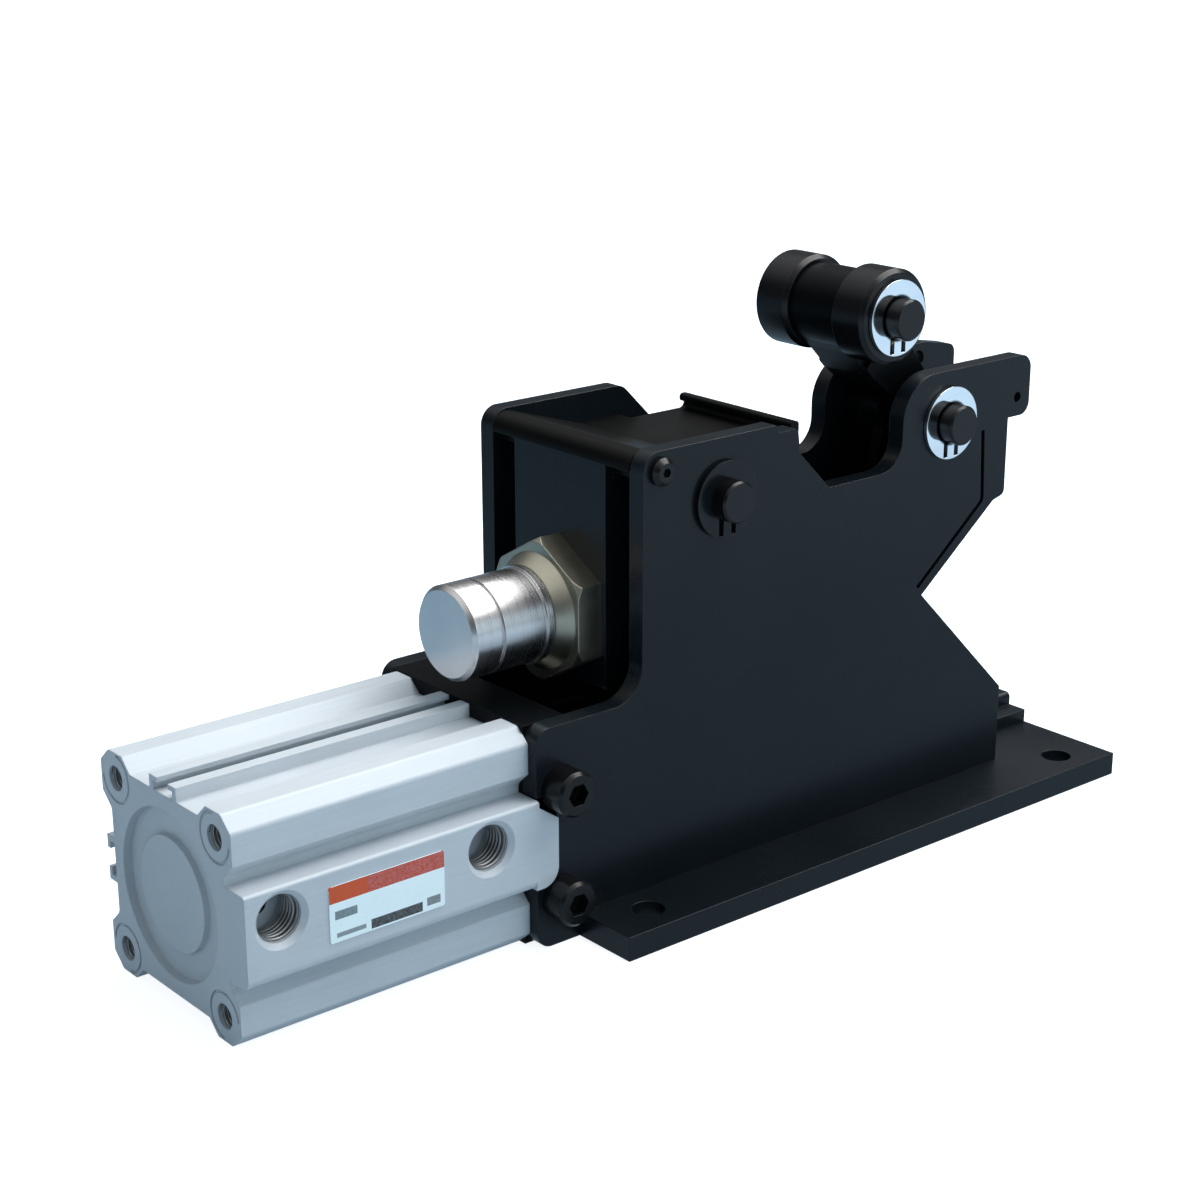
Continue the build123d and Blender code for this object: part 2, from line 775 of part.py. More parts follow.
nut_dome = rod_x(nut_flats * 2 / sqrt(3), nut_face - nut_thick, nut_face, 0, damper_z)
nut_rims = nut_dome.edges().filter_by(GeomType.CIRCLE).sort_by(Axis.X)
nut_dome = chamfer(nut_rims[0], nut_chamfer)
shock_nut = shock_nut & nut_dome
flare_long = nut_face - nut_thick - nut_flare_x
nut_flare = Cone(nut_flare_small, nut_flare_large, flare_long, align=(Align.CENTER, Align.CENTER, Align.MIN))
shock_nut = shock_nut + Pos(nut_flare_x, 0, damper_z) * Rot(0, 90, 0) * nut_flare
shock_nut = shock_nut - rod_x(damper + 2 * thread_fit, nut_flare_x, nut_face, 0, damper_z)
shock_rod = rod_x(damper_rod, damper_rod_start, button_start + button_seat, 0, damper_z)
shock_button = rod_x(button, button_start, button_end, 0, damper_z)
button_rim = shock_button.edges().filter_by(GeomType.CIRCLE).sort_by(Axis.X)[-1]
shock_button = chamfer(button_rim, button_edge)
shock_button = shock_button - rod_x(damper_rod + 2 * thread_fit, button_start,
                                    button_start + button_seat, 0, damper_z)

# Shock holder
holder_top = cover_top - cover_gauge
holder_outline = [
    (riser_x, holder_low, holder_round),
    (holder_end, holder_low, holder_round),
    (holder_end, holder_top, holder_round),
    (riser_x + holder_nose_thick, holder_top, 0),
    (riser_x + holder_nose_thick, holder_nose, 0),
    (riser_x, holder_nose, 0),
]
shock_holder = slab_y(holder_outline, -holder_half, holder_half)
shock_holder = shock_holder - rod_x(damper + 2 * thread_fit, riser_x, holder_end, 0, damper_z)
shock_holder = shock_holder - rod_y(pin + 2 * pin_fit, -holder_half, holder_half, third_pin_x, third_pin_z)
holder_spacers = []
for side in (-1, 1):
    lo, hi = sorted((side * holder_half, side * plate_inner))
    sleeve = rod_y(sleeve_outer, lo, hi, third_pin_x, third_pin_z)
    holder_spacers.append(sleeve - rod_y(pin + 2 * pin_fit, lo, hi, third_pin_x, third_pin_z))


def clip_seats(near, far):
    """Start of the groove at each end of a pin whose parts end at near and far."""
    slack = (clip_groove - clip_gauge) / 2
    return [near - clip_off - clip_groove + slack, far + clip_off - slack]


def clip_pair(x, z, near, far, turn):
    return [clip_y(x, z, near - clip_off - clip_gauge, turn), clip_y(x, z, far + clip_off, turn)]


holder_pin = grooved_pin(third_pin_x, third_pin_z, -plate_face - pin_proud, plate_face + pin_proud,
                         clip_seats(-plate_face, plate_face))
holder_clips = clip_pair(third_pin_x, third_pin_z, -plate_face, plate_face, clip_turn)
main_pin = grooved_pin(pivot_x, pivot_z, -plate_face - pin_proud, centre_near + pin_proud,
                       clip_seats(-plate_face, centre_near))
main_clips = clip_pair(pivot_x, pivot_z, -plate_face, centre_near, clip_turn)

# Stop arm, which carries the axle
across = Vector(arm_dir.Z, 0, -arm_dir.X)
pivot = Vector(pivot_x, 0, pivot_z)


def arm_corner(along, aside, r=0):
    p = pivot + arm_dir * along + across * aside
    return (p.X, p.Z, r)


shank_end = arm_long - roller / 2 - seat
flare = (arm_shoulder_half - arm_knee_half) / (arm_shoulder - arm_knee)
shank_end_half = arm_knee_half + flare * (shank_end - arm_knee)
shank = [arm_corner(0, -arm_foot), arm_corner(arm_flare, -arm_foot), arm_corner(arm_knee, -arm_knee_half),
         arm_corner(shank_end, -shank_end_half, lug_tip), arm_corner(shank_end, arm_half, lug_tip),
         arm_corner(0, arm_half)]
stop_arm = slab_y(shank, arm_far, arm_near)
stop_arm = stop_arm - rod_y(hub + 2 * hub_clear, arm_far, arm_hub_far, pivot_x, pivot_z)
stop_arm = stop_arm - rod_y(hub + 2 * hub_clear, arm_hub_near, arm_near, pivot_x, pivot_z)
neck = [arm_corner(arm_knee, -arm_knee_half), arm_corner(arm_shoulder, -arm_shoulder_half),
        arm_corner(arm_long, -arm_boss / 2), arm_corner(arm_long, arm_half),
        arm_corner(arm_knee, arm_half)]
stop_arm = stop_arm + slab_y(neck, arm_boss_far, arm_boss_near)
stop_arm = stop_arm + rod_y(arm_boss, arm_boss_far, arm_boss_near, axle_x, axle_z)
stop_arm = stop_arm + rod_y(hub, arm_hub_far, arm_hub_near, pivot_x, pivot_z)
stop_arm = stop_arm - rod_y(pin + 2 * running, arm_hub_far, arm_hub_near, pivot_x, pivot_z)
stop_arm = stop_arm - rod_y(pin + 2 * pin_fit, arm_boss_far, arm_boss_near, axle_x, axle_z)


def side_lug(side, half, thick, root, reach, y0, y1):
    """Nose beside the shank of the stop arm, on the side given as -1 or 1."""
    low = side * (half + lug_gap)
    high = side * (half + lug_gap + thick)
    corners = [arm_corner(root, low), arm_corner(reach, low, lug_tip),
               arm_corner(reach, high, 2 * lug_tip), arm_corner(root, high)]
    return slab_y(corners, y0, y1)


# Rocker: the cylinder turns it, and its dog lifts the stop arm
web_dir = Vector(crank_x - pivot_x, 0, crank_z - pivot_z).normalized()
web_side = Vector(-web_dir.Z, 0, web_dir.X)
crank_point = Vector(crank_x, 0, crank_z)
web = [pivot + web_side * (hub / 2), pivot - web_side * (hub / 2),
       crank_point - web_side * crank_boss, crank_point + web_side * crank_boss]
web_far = rocker_near - crank_web
rocker = slab_y([(c.X, c.Z, 0) for c in web], web_far, rocker_near)
rocker = rocker + rod_y(crank_boss * 2, web_far, rocker_near, crank_x, crank_z)
rocker = rocker + rod_y(hub, rocker_far, rocker_near, pivot_x, pivot_z)
rocker = rocker + side_lug(-1, arm_foot, dog_thick, dog_root, arm_flare - lug_gap, dog_far, rocker_near)
rocker = rocker - rod_y(pin + 2 * running, rocker_far, rocker_near, pivot_x, pivot_z)
rocker = rocker - rod_y(link_pin + 2 * bolt_fit, web_far, rocker_near, crank_x, crank_z)
crank_pin = rod_y(link_pin, -link_pin_end, rocker_near, crank_x, crank_z)
crank_pin = crank_pin + rod_y(pin_cap * 2, -link_pin_end, -link_pin_end + pin_cap_thick, crank_x, crank_z)

# Damper lever: its nose takes the push of the stop arm, its pad meets the shock absorber
damper_lever = rod_y(hub, lever_far, lever_near, pivot_x, pivot_z)
tail = [(pivot_x - tail_root_half, pivot_z, 0), (pivot_x + tail_root_half, pivot_z, 0),
        (tail_knee_x, damper_z + tail_knee_rise, tail_root_half), (pad_x, damper_z - pad / 2, tail_tip),
        (pad_x - pad_thick, damper_z - pad / 2, tail_tip)]
damper_lever = damper_lever + slab_y(tail, lever_far, lever_near)
damper_lever = damper_lever + side_lug(1, arm_half, lug_thick, lug_root, lug_reach, lever_far, lever_near)
damper_lever = damper_lever + rod_x(pad, pad_x - pad_thick, pad_x, 0, damper_z)
damper_lever = damper_lever + block(pad_x - pad_thick, pad_x, lever_far, 0,
                                    damper_z - pad / 2 + tail_tip, damper_z + pad / 2 - tail_tip)
damper_lever = damper_lever - rod_y(pin + 2 * running, lever_far, lever_near, pivot_x, pivot_z)

# Roller axle and rollers
roller_front_far = roller_front_near - roller_wide
roller_rear_near = roller_rear_far + roller_wide
roller_axle = grooved_pin(axle_x, axle_z, roller_front_far - pin_proud, roller_rear_near + pin_proud,
                          clip_seats(roller_front_far, roller_rear_near))
axle_clips = clip_pair(axle_x, axle_z, roller_front_far, roller_rear_near, clip_turn)


def make_roller(y0, y1):
    body = rod_y(roller, y0, y1, axle_x, axle_z)
    body = chamfer(body.edges().filter_by(GeomType.CIRCLE), roller_chamfer)
    body = body - rod_y(roller_bush, y0, y1, axle_x, axle_z)
    return body


def make_bush(y0, y1):
    return rod_y(roller_bush, y0, y1, axle_x, axle_z) - rod_y(pin + 2 * running, y0, y1, axle_x, axle_z)


# Cover sheet and bar
slope = (cover_nose_z - cover_top) / (cover_bend_x - cover_nose_x)
lean = sqrt(1 + slope**2)
under_bend = cover_bend_x - cover_gauge * (lean - 1) / slope
under_nose_x = cover_nose_x + cover_gauge
under_nose_z = cover_nose_z - cover_gauge * lean - cover_gauge * slope
sheet = [
    (cover_nose_x, cover_nose_low, 0),
    (under_nose_x, cover_nose_low, 0),
    (under_nose_x, under_nose_z, cover_nose_round - cover_gauge),
    (under_bend, cover_top - cover_gauge, 0),
    (cover_lip_x, cover_top - cover_gauge, cover_lip_round),
    (cover_lip_x, cover_lip_top, cover_hem_round),
    (cover_lip_x - cover_hem, cover_lip_top, cover_hem_round),
    (cover_lip_x - cover_hem, cover_hem_low, cover_hem_round),
    (cover_lip_x - cover_gauge, cover_hem_low, 0),
    (cover_lip_x - cover_gauge, cover_top, cover_lip_round - cover_gauge),
    (cover_bend_x, cover_top, 0),
    (cover_nose_x, cover_nose_z, cover_nose_round),
]
cover_sheet = slab_y(sheet, -cover_half, cover_half)
for side in (-1, 1):
    lo, hi = sorted((side * cover_lip_half, side * cover_half))
    cover_sheet = cover_sheet - block(cover_narrow_x, cover_lip_x, lo, hi,
                                      cover_top - cover_side_cut, cover_lip_top)
bar = [
    (riser_x + holder_nose_thick + fit, holder_top, 0),
    (bar_end, holder_top, 0),
    (bar_end, under_nose_z - (bar_end - under_nose_x) * slope, 0),
    (under_nose_x, under_nose_z, cover_nose_round - cover_gauge),
    (under_nose_x, holder_nose, 0),
    (riser_x + holder_nose_thick + fit, holder_nose, 0),
]
cover_bar = slab_y(bar, -bar_half, bar_half)
for side in (-1, 1):
    lo, hi = sorted((side * holder_half, side * bar_half))
    cover_bar = cover_bar - block(riser_x, bar_end, lo, hi, holder_top, bar_end_low)
cover_bar_screws = []
for side, face in ((-1, plate_face), (1, plate_face - bar_head_high)):
    lo, hi = sorted((side * (face - bar_screw_long - hole_extra), side * face))
    cover_bar = cover_bar - rod_y(bar_screw + 2 * bolt_fit, lo, hi, *bar_screw_place)
    cover_bar_screws.append(socket_screw_y(*bar_screw_place, face, side, bar_screw, bar_screw_long,
                                           bar_head, bar_head_high, bar_key, bar_key_deep,
                                           bar_head_edge))

# Foot block
foot_low = block(foot_left, base_right, -foot_low_half, foot_low_half, base_thickness, foot_low_top)
foot_high = block(foot_high_left, base_right, -foot_high_half, foot_high_half, foot_low_top,
                  foot_high_top)
foot_high = fillet(foot_high.edges().filter_by(Axis.X).sort_by(Axis.Z)[-2:], foot_edge)
foot_block = foot_low + foot_high
for x in foot_screw_places:
    foot_block = foot_block - rod_z(foot_screw + 2 * bolt_fit, base_thickness, foot_screw_top, x, 0)

# Label field
label_outline = [(label_left, label_low, label_round), (label_right, label_low, label_round),
                 (label_right, label_high, label_round), (label_left, label_high, label_round)]
label_plate = slab_y(label_outline, -port_face - label_thick, -port_face)

nodes = {
    "base_plate": base,
    "side_plate_front": front,
    "side_plate_rear": rear,
    "centre_plate": centre,
    "end_guard": end_guard,
    "foot_block": foot_block,
    "foot_screws": foot_screws,
    "cylinder_block": rod_block,
    "block_screws": block_screws,
    "cylinder_tube": tube,
    "cylinder_bolts": cylinder_bolts,
    "rod_cover": rod_cover,
    "rod_bush": rod_bush,
    "rod_wiper": rod_wiper,
    "snap_ring": snap_ring,
    "label_plate": label_plate,
    "piston": piston,
    "piston_seal": piston_seal,
    "piston_rod": piston_rod,
    "crosshead": crosshead,
    "crosshead_pin": crosshead_pin,
    "link": link,
    "shock_body": shock_body,
    "shock_nut": shock_nut,
    "shock_rod": shock_rod,
    "shock_button": shock_button,
    "shock_holder": shock_holder,
    "holder_spacers": holder_spacers,
    "holder_pin": holder_pin,
    "holder_pin_clips": holder_clips,
    "cover_sheet": cover_sheet,
    "cover_bar": cover_bar,
    "cover_bar_screws": cover_bar_screws,
    "damper_lever": damper_lever,
    "main_pin": main_pin,
    "main_pin_clips": main_clips,
    "stop_arm": stop_arm,
    "rocker": rocker,
    "crank_pin": crank_pin,
    "roller_axle": roller_axle,
    "axle_clips": axle_clips,
    "roller_front": make_roller(roller_front_far, roller_front_near),
    "roller_front_bush": make_bush(roller_front_far, roller_front_near),
    "roller_rear": make_roller(roller_rear_far, roller_rear_near),
    "roller_rear_bush": make_bush(roller_rear_far, roller_rear_near),
}

os.makedirs("parts", exist_ok=True)
for name, shape in nodes.items():
    if isinstance(shape, list):
        shape = Compound(children=[s.solid() if hasattr(s, "solid") else s for s in shape])
    export_step(shape, f"parts/{name}.step")
print("axle", round(axle_x, 2), round(axle_z, 2))
print("crank pin", round(crank_x, 2), round(crank_z, 2))
print("crosshead pin", round(crosshead_x, 2), bore_z)
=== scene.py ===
import json
import math

import bmesh
import bpy
from mathutils import Matrix, Vector


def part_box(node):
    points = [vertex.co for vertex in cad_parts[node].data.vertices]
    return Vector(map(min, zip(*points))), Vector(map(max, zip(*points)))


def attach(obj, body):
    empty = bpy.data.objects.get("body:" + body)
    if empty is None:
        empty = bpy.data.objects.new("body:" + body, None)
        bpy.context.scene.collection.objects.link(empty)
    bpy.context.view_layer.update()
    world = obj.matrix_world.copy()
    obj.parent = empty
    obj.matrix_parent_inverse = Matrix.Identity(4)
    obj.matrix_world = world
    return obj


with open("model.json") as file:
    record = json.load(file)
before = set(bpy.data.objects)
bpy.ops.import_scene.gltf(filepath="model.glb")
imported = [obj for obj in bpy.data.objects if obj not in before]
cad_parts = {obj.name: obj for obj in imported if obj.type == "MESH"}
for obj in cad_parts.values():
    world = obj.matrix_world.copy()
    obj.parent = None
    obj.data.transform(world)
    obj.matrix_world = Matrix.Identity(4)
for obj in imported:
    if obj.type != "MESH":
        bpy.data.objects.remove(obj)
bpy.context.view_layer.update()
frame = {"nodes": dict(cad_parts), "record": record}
NODES = frame["nodes"]
RECORD = frame["record"]
MOUNTS = {m["name"]: m for m in RECORD["mounts"]}
SLOT_OF = {s["node"]: s["material_slot"] for s in RECORD["subparts"]}
MM = 0.001


# Node helpers
BEVEL_SAMPLES = 6


def add(nt, kind, **sets):
    n = nt.nodes.new(kind)
    for k, v in sets.items():
        setattr(n, k, v)
    return n


def new_material(name):
    m = bpy.data.materials.new(name)
    m.use_nodes = True
    nt = m.node_tree
    for n in list(nt.nodes):
        nt.nodes.remove(n)
    out = add(nt, "ShaderNodeOutputMaterial")
    sh = add(nt, "ShaderNodeBsdfPrincipled")
    nt.links.new(sh.outputs[0], out.inputs[0])
    return m, nt, sh, out


def object_space(nt, scale=(1, 1, 1)):
    space = add(nt, "ShaderNodeTexCoord")
    mapping = add(nt, "ShaderNodeMapping")
    mapping.inputs["Scale"].default_value = scale
    nt.links.new(space.outputs["Object"], mapping.inputs["Vector"])
    return mapping.outputs["Vector"]


def noise(nt, vector, scale, detail=4.0, rough=0.55):
    n = add(nt, "ShaderNodeTexNoise")
    n.inputs["Scale"].default_value = scale
    n.inputs["Detail"].default_value = detail
    n.inputs["Roughness"].default_value = rough
    nt.links.new(vector, n.inputs["Vector"])
    return n.outputs["Fac"]


def ramp(nt, fac, stops):
    r = add(nt, "ShaderNodeValToRGB")
    els = r.color_ramp.elements
    while len(els) < len(stops):
        els.new(0.5)
    for e, (p, c) in zip(els, stops):
        e.position = p
        e.color = (c, c, c, 1) if isinstance(c, (int, float)) else (*c, 1)
    nt.links.new(fac, r.inputs[0])
    return r.outputs[0]


def mapped(nt, value, start, end, lo=0.0, hi=1.0):
    """Start becomes lo and end becomes hi, and what lies past them is held there."""
    n = add(nt, "ShaderNodeMapRange")
    n.inputs["From Min"].default_value = start
    n.inputs["From Max"].default_value = end
    n.inputs["To Min"].default_value = lo
    n.inputs["To Max"].default_value = hi
    nt.links.new(value, n.inputs["Value"])
    return n.outputs[0]


def spread(nt, fac, lo, hi):
    """The middle of a noise, 0.3 to 0.7, becomes lo to hi."""
    return mapped(nt, fac, 0.3, 0.7, lo, hi)


def math_node(nt, operation, *values):
    n = add(nt, "ShaderNodeMath", operation=operation)
    for i, v in enumerate(values):
        if isinstance(v, (int, float)):
            n.inputs[i].default_value = v
        else:
            nt.links.new(v, n.inputs[i])
    return n.outputs[0]


def mixed(nt, fac, a, b):
    """Colour a where fac is 0, colour b where it is 1."""
    n = add(nt, "ShaderNodeMix", data_type="RGBA")
    nt.links.new(fac, n.inputs[0])
    for socket, v in ((n.inputs[6], a), (n.inputs[7], b)):
        if isinstance(v, tuple):
            socket.default_value = (*v, 1)
        else:
            nt.links.new(v, socket)
    return n.outputs[2]


def blended(nt, fac, a, b):
    n = add(nt, "ShaderNodeMixShader")
    nt.links.new(fac, n.inputs[0])
    nt.links.new(a, n.inputs[1])
    nt.links.new(b, n.inputs[2])
    return n.outputs[0]


def bump(nt, height, strength, distance, normal=None):
    b = add(nt, "ShaderNodeBump")
    b.inputs["Strength"].default_value = strength
    b.inputs["Distance"].default_value = distance
    nt.links.new(height, b.inputs["Height"])
    if normal is not None:
        nt.links.new(normal, b.inputs["Normal"])
    return b.outputs[0]


def soft_edges(nt, radius):
    b = add(nt, "ShaderNodeBevel", samples=BEVEL_SAMPLES)
    b.inputs["Radius"].default_value = radius
    return b.outputs[0]


def edge_highlight_mask(nt, radius, sharp):
    """1 on sharp edges, 0 on flats: how far a bevelled normal leaves the true one; marks where edges get a
    painted highlight.
    """
    geometry = add(nt, "ShaderNodeNewGeometry")
    dot = add(nt, "ShaderNodeVectorMath", operation="DOT_PRODUCT")
    nt.links.new(soft_edges(nt, radius), dot.inputs[0])
    nt.links.new(geometry.outputs["Normal"], dot.inputs[1])
    return math_node(nt, "LESS_THAN", dot.outputs["Value"], sharp)


# Finishes
COAT_CLOUD = 18.0
METAL_CLOUD = 30.0
MARKS_SHARE = 0.55
CLOUD_SHARE = 0.45
EDGE_SHARPNESS = 0.93
PIN_REFLECTION = (0.020, 0.024, 0.028)
COAT_GRAIN_DEPTH = 0.05 * MM
TOOL_MARK_DEPTH = 0.04 * MM
MOULD_GRAIN_DEPTH = 0.1 * MM
INK_DEPTH = 0.03 * MM
INK_GRAIN = 1500.0
INK_COVER = (0.86, 1.0)
FILM_ROUGHNESS = (0.30, 0.42)


def coat(name, low, high, edge_highlight_colour, rough, specular, grain, edge, strength):
    """Smooth dark coating: cloudy colour, fine grain, edges painted a little lighter as a highlight."""
    m, nt, sh, _ = new_material(name)
    place = object_space(nt)
    cloud = noise(nt, place, COAT_CLOUD, detail=5.0)
    fine = noise(nt, place, grain, detail=3.0)
    body = ramp(nt, cloud, [(0.30, low), (0.72, high)])
    # Sharp edges take a lighter colour: a painted highlight.
    nt.links.new(mixed(nt, edge_highlight_mask(nt, edge, EDGE_SHARPNESS), body, edge_highlight_colour), sh.inputs["Base Color"])
    nt.links.new(spread(nt, cloud, rough - 0.04, rough + 0.05), sh.inputs["Roughness"])
    sh.inputs["Specular IOR Level"].default_value = specular
    nt.links.new(bump(nt, fine, strength, COAT_GRAIN_DEPTH, soft_edges(nt, edge)), sh.inputs["Normal"])
    return m


def around_pin(nt, node, near, far):
    """1 beside the pin that passes through the middle of the node, 0 from the far radius on."""
    low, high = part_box(node)
    offset = add(nt, "ShaderNodeVectorMath", operation="SUBTRACT")
    offset.inputs[1].default_value = [(a + b) / 2 for a, b in zip(low, high)]
    flat = add(nt, "ShaderNodeVectorMath", operation="MULTIPLY")
    flat.inputs[1].default_value = (1, 0, 1)
    size = add(nt, "ShaderNodeVectorMath", operation="LENGTH")
    nt.links.new(object_space(nt), offset.inputs[0])
    nt.links.new(offset.outputs[0], flat.inputs[0])
    nt.links.new(flat.outputs[0], size.inputs[0])
    return mapped(nt, size.outputs["Value"], far, near)


def metal(name, low, high, rough, lines, scale, strength, edge, metallic=1.0, drift=0.04, pin=None):
    """Metal whose tool marks run across the axis with the large line scale.

    A pin is a node and the radii where the dark ring round its pin is full and where it has gone.
    """
    m, nt, sh, _ = new_material(name)
    marks = noise(nt, object_space(nt, lines), scale, detail=6.0, rough=0.65)
    cloud = noise(nt, object_space(nt), METAL_CLOUD)
    both = math_node(nt, "ADD", math_node(nt, "MULTIPLY", marks, MARKS_SHARE),
                     math_node(nt, "MULTIPLY", cloud, CLOUD_SHARE))
    colour = ramp(nt, both, [(0.34, low), (0.66, high)])
    if pin:
        colour = mixed(nt, around_pin(nt, *pin), colour, PIN_REFLECTION)
    nt.links.new(colour, sh.inputs["Base Color"])
    nt.links.new(spread(nt, both, rough - drift, rough + drift), sh.inputs["Roughness"])
    sh.inputs["Metallic"].default_value = metallic
    nt.links.new(bump(nt, marks, strength, TOOL_MARK_DEPTH, soft_edges(nt, edge)), sh.inputs["Normal"])
    return m


def moulded(name, low, high, rough, grain, strength):
    m, nt, sh, _ = new_material(name)
    n = noise(nt, object_space(nt), grain, detail=3.0)
    nt.links.new(ramp(nt, n, [(0.3, low), (0.7, high)]), sh.inputs["Base Color"])
    nt.links.new(spread(nt, n, rough - 0.06, rough + 0.06), sh.inputs["Roughness"])
    nt.links.new(bump(nt, n, strength, MOULD_GRAIN_DEPTH), sh.inputs["Normal"])
    return m


def printed_label():
    """Film with a warm band on top and plain grey bars, all placed by the plate's own box.

    A field is left, right, top and bottom as shares of the plate, and its colour.
    """
    low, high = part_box("label_plate")
    m, nt, sh, _ = new_material("label_print")
    split = add(nt, "ShaderNodeSeparateXYZ")
    place = object_space(nt)
    nt.links.new(place, split.inputs[0])
    along = mapped(nt, split.outputs["X"], low[0], high[0])
    down = mapped(nt, split.outputs["Z"], high[2], low[2])
    ink = noise(nt, place, INK_GRAIN, detail=3.0)
    film = ramp(nt, ink, [(0.3, (0.83, 0.95, 0.98)), (0.7, (0.89, 0.99, 1.0))])
    fields = [
        (0.0, 1.0, 0.0, 0.30, (0.53, 0.045, 0.010)),
        (0.0, 0.33, 0.0, 0.30, (0.64, 0.085, 0.016)),
        (0.045, 0.235, 0.45, 0.60, (0.16, 0.21, 0.23)),
        (0.055, 0.305, 0.84, 0.92, (0.22, 0.26, 0.28)),
        (0.35, 0.80, 0.80, 0.97, (0.020, 0.016, 0.018)),
        (0.84, 0.96, 0.76, 0.91, (0.19, 0.21, 0.22)),
    ]
    colour = film
    for left, right, top, bottom, paint in fields:
        inside = math_node(nt, "MULTIPLY", math_node(nt, "GREATER_THAN", along, left),
                           math_node(nt, "LESS_THAN", along, right))
        inside = math_node(nt, "MULTIPLY", inside, math_node(nt, "GREATER_THAN", down, top))
        inside = math_node(nt, "MULTIPLY", inside, math_node(nt, "LESS_THAN", down, bottom))
        worn = math_node(nt, "MULTIPLY", inside, spread(nt, ink, *INK_COVER))
        colour = mixed(nt, worn, colour, paint)
    nt.links.new(colour, sh.inputs["Base Color"])
    nt.links.new(spread(nt, ink, *FILM_ROUGHNESS), sh.inputs["Roughness"])
    nt.links.new(bump(nt, ink, strength=0.05, distance=INK_DEPTH), sh.inputs["Normal"])
    return m


# Looks by material slot, and the nodes that differ from their slot
LOOKS = {
    "black_finish": coat("black_coat", (0.0042, 0.0067, 0.0092), (0.0063, 0.0094, 0.0128),
                         edge_highlight_colour=(0.020, 0.023, 0.026), rough=0.27, specular=0.24, grain=2400.0,
                         edge=0.4 * MM, strength=0.05),
    "black_oxide": coat("black_oxide", (0.0024, 0.0027, 0.0031), (0.0058, 0.0061, 0.0067),
                        edge_highlight_colour=(0.032, 0.033, 0.034), rough=0.23, specular=0.31, grain=3200.0,
                        edge=0.2 * MM, strength=0.04),
    "roller_steel": coat("roller_black", (0.0020, 0.0024, 0.0032), (0.0048, 0.0052, 0.0064),
                         edge_highlight_colour=(0.014, 0.015, 0.017), rough=0.26, specular=0.28, grain=3000.0,
                         edge=0.3 * MM, strength=0.05),
    "bronze": metal("sintered_bronze", (0.30, 0.19, 0.09), (0.48, 0.33, 0.17), rough=0.42,
                    lines=(8, 8, 8), scale=60.0, strength=0.25, edge=0.2 * MM),
    "anodised_aluminium": metal("anodised_aluminium", (0.505, 0.54, 0.575), (0.58, 0.615, 0.65), rough=0.52,
                                lines=(1.5, 60, 60), scale=26.0, strength=0.16, edge=0.4 * MM, metallic=0.08),
    "seal_rubber": moulded("seal_rubber", 0.010, 0.022, rough=0.62, grain=900.0, strength=0.15),
    "polished_steel": metal("turned_steel", (0.57, 0.56, 0.57), (0.74, 0.73, 0.73), rough=0.27,
                            lines=(90, 1.2, 1.2), scale=14.0, strength=0.16, edge=0.3 * MM),
    "nut_steel": metal("nut_plating", (0.35, 0.34, 0.275), (0.47, 0.455, 0.37), rough=0.36,
                       lines=(6, 6, 6), scale=22.0, strength=0.14, edge=0.4 * MM),
    "button_plastic": moulded("button_plastic", 0.030, 0.050, rough=0.46, grain=700.0, strength=0.12),
    "label_field": printed_label(),
}
GROUND_ROD = metal("ground_rod", (0.60, 0.61, 0.62), (0.74, 0.75, 0.76), rough=0.14,
                   lines=(60, 1.2, 1.2), scale=16.0, strength=0.06, edge=0.3 * MM)
# Darker copy of the black coat with weak reflections: painted shade for the cylinder block and the lever
# parts.
SHADED_BLACK = coat("shaded_black", (0.0016, 0.0022, 0.0028), (0.0030, 0.0038, 0.0046),
                  edge_highlight_colour=(0.015, 0.017, 0.019), rough=0.32, specular=0.07, grain=2400.0,
                  edge=0.4 * MM, strength=0.05)
SHEET_BLACK = coat("sheet_black", (0.0024, 0.0025, 0.0023), (0.0040, 0.0040, 0.0036),
                   edge_highlight_colour=(0.024, 0.023, 0.018), rough=0.32, specular=0.10, grain=2000.0,
                   edge=0.3 * MM, strength=0.05)
CLIP_BLACK = coat("clip_black", (0.0040, 0.0055, 0.0070), (0.0060, 0.0078, 0.0096),
                  edge_highlight_colour=(0.050, 0.050, 0.044), rough=0.22, specular=0.26, grain=3000.0,
                  edge=0.15 * MM, strength=0.03)
PIN_RADIUS = 5.0 * MM
DARK_RING = PIN_RADIUS + 1.5 * MM
BRIGHT_RING = PIN_RADIUS + 2.1 * MM


def spring(node):
    """Bright stamped clip, dark where it mirrors the pin that it holds."""
    return metal(node + "_spring", (0.78, 0.85, 0.92), (0.90, 0.95, 0.99), rough=0.09, lines=(8, 1, 30),
                 scale=12.0, strength=0.03, edge=0.2 * MM, drift=0.02, pin=(node, DARK_RING, BRIGHT_RING))


OWN_LOOKS = {
    "piston_rod": GROUND_ROD,
    "shock_rod": GROUND_ROD,
    # Painted shade: these parts get the darker copy of the coat because they sit in shadow.
    "cylinder_block": SHADED_BLACK,
    "stop_arm": SHADED_BLACK,
    "rocker": SHADED_BLACK,
    "damper_lever": SHADED_BLACK,
    "cover_sheet": SHEET_BLACK,
    "cover_bar": SHEET_BLACK,
    "holder_pin_clips": CLIP_BLACK,
    "main_pin_clips": spring("main_pin_clips"),
    "axle_clips": spring("axle_clips"),
}

for node, ob in NODES.items():
    for slot in ob.material_slots:
        slot.material = OWN_LOOKS.get(node) or LOOKS[SLOT_OF[node]]


# Cut threads
THREAD_STEPS = 40
THREAD_EMBED = 0.03 * MM
THREAD_CREST = 0.12
THREAD_ROOT = 0.44
THREAD_FADED = 0.05


